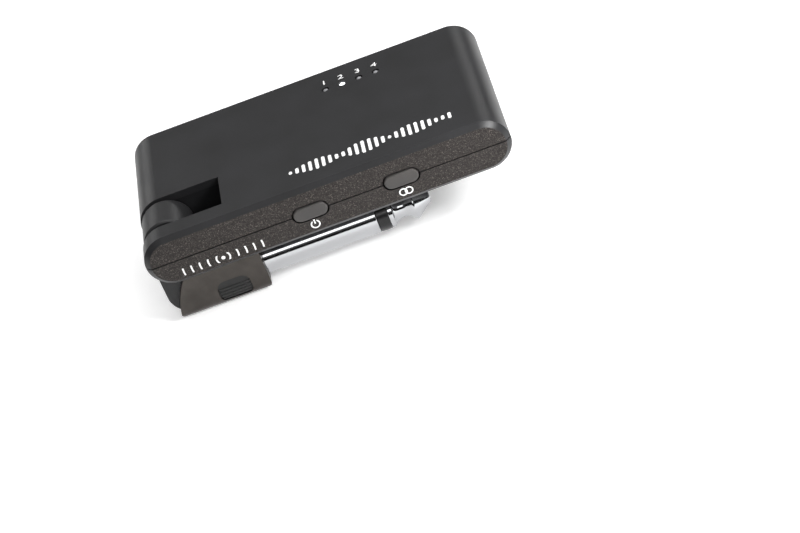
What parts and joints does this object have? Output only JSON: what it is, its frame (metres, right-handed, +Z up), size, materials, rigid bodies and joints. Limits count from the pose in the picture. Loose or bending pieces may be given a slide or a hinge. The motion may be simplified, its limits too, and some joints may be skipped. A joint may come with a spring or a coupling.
{
  "type": "wireless guitar transmitter",
  "caption": "Flat black wireless instrument transmitter with a fold-out jack plug in a hinge slot, side push buttons and a row of status lights.",
  "frame": {"origin": "bottom centre of the transmitter with its plug folded, on the underside of the plug's boot", "axes": "+X from the hinge end along the housing, +Y from the button side to the rear, +Z up through the thickness"},
  "size_m": [0.066, 0.0372, 0.0202],
  "materials": {
    "shell_plastic": "fine matt black moulding with sparkle-textured sides",
    "arm_plastic": "matt black moulding",
    "cradle_plastic": "matt black moulding",
    "boot_metal": "satin gunmetal",
    "plug_chrome": "polished nickel plate",
    "ring_plastic": "gloss black insulator",
    "core_plastic": "natural white insulator",
    "steel": "bright steel",
    "black_steel": "black oxide steel",
    "brass": "bare brass",
    "board_laminate": "green solder mask",
    "battery_foil": "satin foil pouch",
    "foam": "grey foam tape",
    "wire_red": "red wire insulation",
    "connector_plastic": "cream nylon",
    "chip_epoxy": "black epoxy package",
    "ceramic": "tan ceramic",
    "white_ceramic": "white ceramic",
    "led_resin": "yellow-white resin",
    "light_guide": "clear acrylic",
    "button_plastic": "warm grey matt",
    "grip_rubber": "dark grey rubber"
  },
  "bodies": {
    "housing": {"top_shell": "shell_plastic", "bottom_shell": "shell_plastic", "housing_screws": "black_steel", "hinge_cradle": "cradle_plastic", "hinge_pin": "steel", "hinge_washers": "steel", "main_board": "board_laminate", "battery": "battery_foil", "battery_pad": "foam", "battery_leads": "wire_red", "battery_connector": "connector_plastic", "signal_leads": "wire_red", "usb_port": "steel", "status_leds": "led_resin", "light_pipes": "light_guide", "power_switch": "steel", "pair_switch": "steel", "radio_module": "steel", "antenna": "white_ceramic", "control_chip": "chip_epoxy", "audio_chip": "chip_epoxy", "charger_chip": "chip_epoxy", "crystal": "steel", "board_capacitors": "ceramic"},
    "plug_arm": {"hinge_arm": "arm_plastic", "plug_boot": "boot_metal", "boot_screw": "black_steel", "front_grip": "grip_rubber", "rear_grip": "grip_rubber", "plug_sleeve": "plug_chrome", "plug_ring": "ring_plastic", "plug_tip": "plug_chrome", "plug_rod": "brass", "plug_insulator": "core_plastic", "plug_tags": "brass", "arm_leads": "wire_red"},
    "power_key": {"power_button": "button_plastic"},
    "pair_key": {"pair_button": "button_plastic"}
  },
  "joints": [
    {"name": "plug_fold", "type": "hinge", "parent": "housing", "child": "plug_arm", "pos_m": [-0.02815, -0.0094, 0.0154], "axis": [0, 1, 0], "range_deg": [0, 220]},
    {"name": "power_press", "type": "slide", "parent": "housing", "child": "power_key", "axis": [0, 1, 0], "range_m": [0, 0.00035], "stiffness_N_per_m": 4000},
    {"name": "pair_press", "type": "slide", "parent": "housing", "child": "pair_key", "axis": [0, 1, 0], "range_m": [0, 0.00035], "stiffness_N_per_m": 4000}
  ]
}
